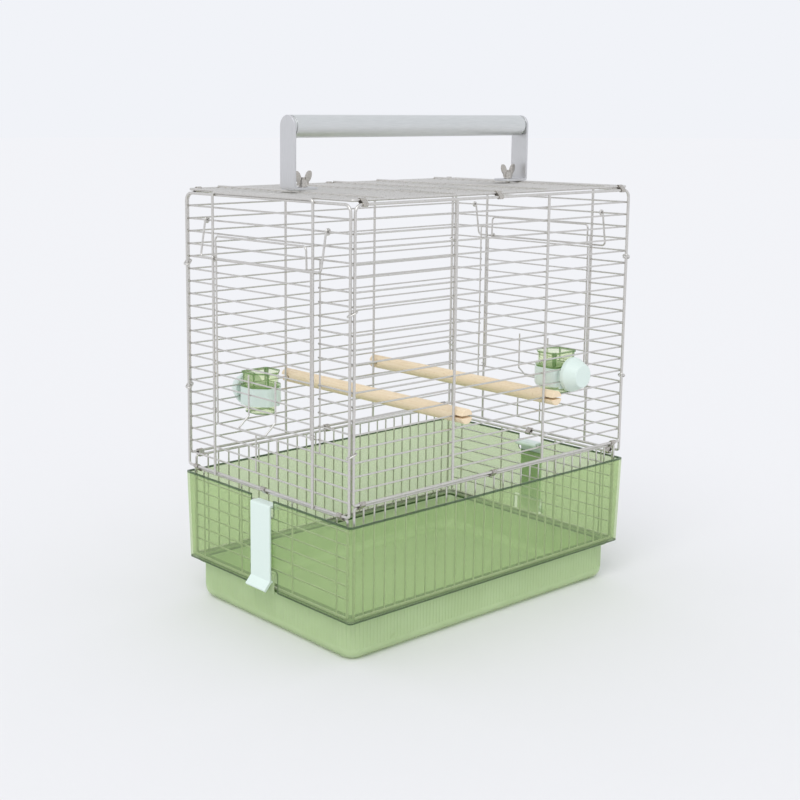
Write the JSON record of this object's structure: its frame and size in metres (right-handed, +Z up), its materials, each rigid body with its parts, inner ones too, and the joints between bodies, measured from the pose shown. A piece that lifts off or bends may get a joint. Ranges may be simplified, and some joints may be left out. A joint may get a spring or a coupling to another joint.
{
  "type": "bird cage",
  "caption": "Rectangular welded-wire carry cage for a small bird with lifting end doors, tinted skirt, deep tray, perches, hanging food cups and a bar handle.",
  "frame": {"origin": "on the floor under the middle of the cage", "axes": "+Z up; X along the long side; the long front wall faces -Y; the two lifting doors face -X and +X"},
  "size_m": [0.4854, 0.3278, 0.5765],
  "materials": {
    "steel_wire": "satin",
    "clip_steel": "bright",
    "handle_steel": "brushed",
    "skirt_plastic": "clear tinted",
    "tray_plastic": "cloudy tinted",
    "cup_plastic": "clear tinted",
    "mint_plastic": "satin",
    "perch_wood": "sanded"
  },
  "bodies": {
    "cage": {"back_band": "steel_wire", "back_feeder_holder": "mint_plastic", "back_hinge_clips": "clip_steel", "back_wall": "steel_wire", "corner_hooks": "steel_wire", "front_band": "steel_wire", "front_feeder_holder": "mint_plastic", "front_hinge_clips": "clip_steel", "front_wall": "steel_wire", "handle_grip": "handle_steel", "left_band": "steel_wire", "left_handle_bolt": "clip_steel", "left_handle_post": "handle_steel", "left_handle_washer": "clip_steel", "left_hinge_clips": "clip_steel", "left_perch": "perch_wood", "left_wall": "steel_wire", "right_band": "steel_wire", "right_handle_bolt": "clip_steel", "right_handle_post": "handle_steel", "right_handle_washer": "clip_steel", "right_hinge_clips": "clip_steel", "right_perch": "perch_wood", "right_wall": "steel_wire", "roof": "steel_wire", "roof_back_clips": "clip_steel", "roof_front_clips": "clip_steel", "skirt": "skirt_plastic", "tray": "tray_plastic"},
    "left_door": {"left_door": "steel_wire", "left_door_loops": "steel_wire", "left_door_pull": "steel_wire"},
    "left_bail": {"left_bail": "steel_wire"},
    "left_lever": {"left_lever": "steel_wire"},
    "left_latch": {"left_tray_latch": "mint_plastic"},
    "left_wing_nut": {"left_wing_nut": "clip_steel"},
    "right_door": {"right_door": "steel_wire", "right_door_loops": "steel_wire", "right_door_pull": "steel_wire"},
    "right_bail": {"right_bail": "steel_wire"},
    "right_lever": {"right_lever": "steel_wire"},
    "right_latch": {"right_tray_latch": "mint_plastic"},
    "right_wing_nut": {"right_wing_nut": "clip_steel"},
    "front_cup": {"front_feeder_cup": "cup_plastic"},
    "front_knob": {"front_feeder_knob": "mint_plastic"},
    "back_cup": {"back_feeder_cup": "cup_plastic"},
    "back_knob": {"back_feeder_knob": "mint_plastic"}
  },
  "joints": [
    {"name": "left_door_lift", "type": "slide", "parent": "cage", "child": "left_door", "axis": [0, 0, 1], "range_m": [0, 0.066]},
    {"name": "left_bail_swing", "type": "hinge", "parent": "cage", "child": "left_bail", "pos_m": [-0.2225, 0, 0.45809], "axis": [0, 1, 0], "range_deg": [0, 100]},
    {"name": "left_lever_turn", "type": "hinge", "parent": "left_bail", "child": "left_lever", "pos_m": [-0.232, 0, 0.4165], "axis": [0, -1, 0], "range_deg": [0, 120]},
    {"name": "left_latch_swing", "type": "hinge", "parent": "cage", "child": "left_latch", "pos_m": [-0.2186, 0, 0.1453], "axis": [0, 1, 0], "range_deg": [0, 40]},
    {"name": "left_wing_nut_turn", "type": "hinge", "parent": "cage", "child": "left_wing_nut", "pos_m": [-0.168, 0, 0.502], "axis": [0, 0, 1], "continuous": true},
    {"name": "right_door_lift", "type": "slide", "parent": "cage", "child": "right_door", "axis": [0, 0, 1], "range_m": [0, 0.066]},
    {"name": "right_bail_swing", "type": "hinge", "parent": "cage", "child": "right_bail", "pos_m": [0.2225, 0, 0.45809], "axis": [0, -1, 0], "range_deg": [0, 100]},
    {"name": "right_lever_turn", "type": "hinge", "parent": "right_bail", "child": "right_lever", "pos_m": [0.232, 0, 0.4165], "axis": [0, 1, 0], "range_deg": [0, 120]},
    {"name": "right_latch_swing", "type": "hinge", "parent": "cage", "child": "right_latch", "pos_m": [0.2186, 0, 0.1453], "axis": [0, -1, 0], "range_deg": [0, 40]},
    {"name": "right_wing_nut_turn", "type": "hinge", "parent": "cage", "child": "right_wing_nut", "pos_m": [0.168, 0, 0.502], "axis": [0, 0, 1], "continuous": true},
    {"name": "front_cup_lift", "type": "slide", "parent": "cage", "child": "front_cup", "axis": [0, 0, 1], "range_m": [0, 0.045]},
    {"name": "front_knob_turn", "type": "hinge", "parent": "cage", "child": "front_knob", "pos_m": [0.1245, -0.155, 0.27311], "axis": [0, -1, 0], "continuous": true},
    {"name": "back_cup_lift", "type": "slide", "parent": "cage", "child": "back_cup", "axis": [0, 0, 1], "range_m": [0, 0.045]},
    {"name": "back_knob_turn", "type": "hinge", "parent": "cage", "child": "back_knob", "pos_m": [-0.133, 0.155, 0.24354], "axis": [0, 1, 0], "continuous": true}
  ]
}
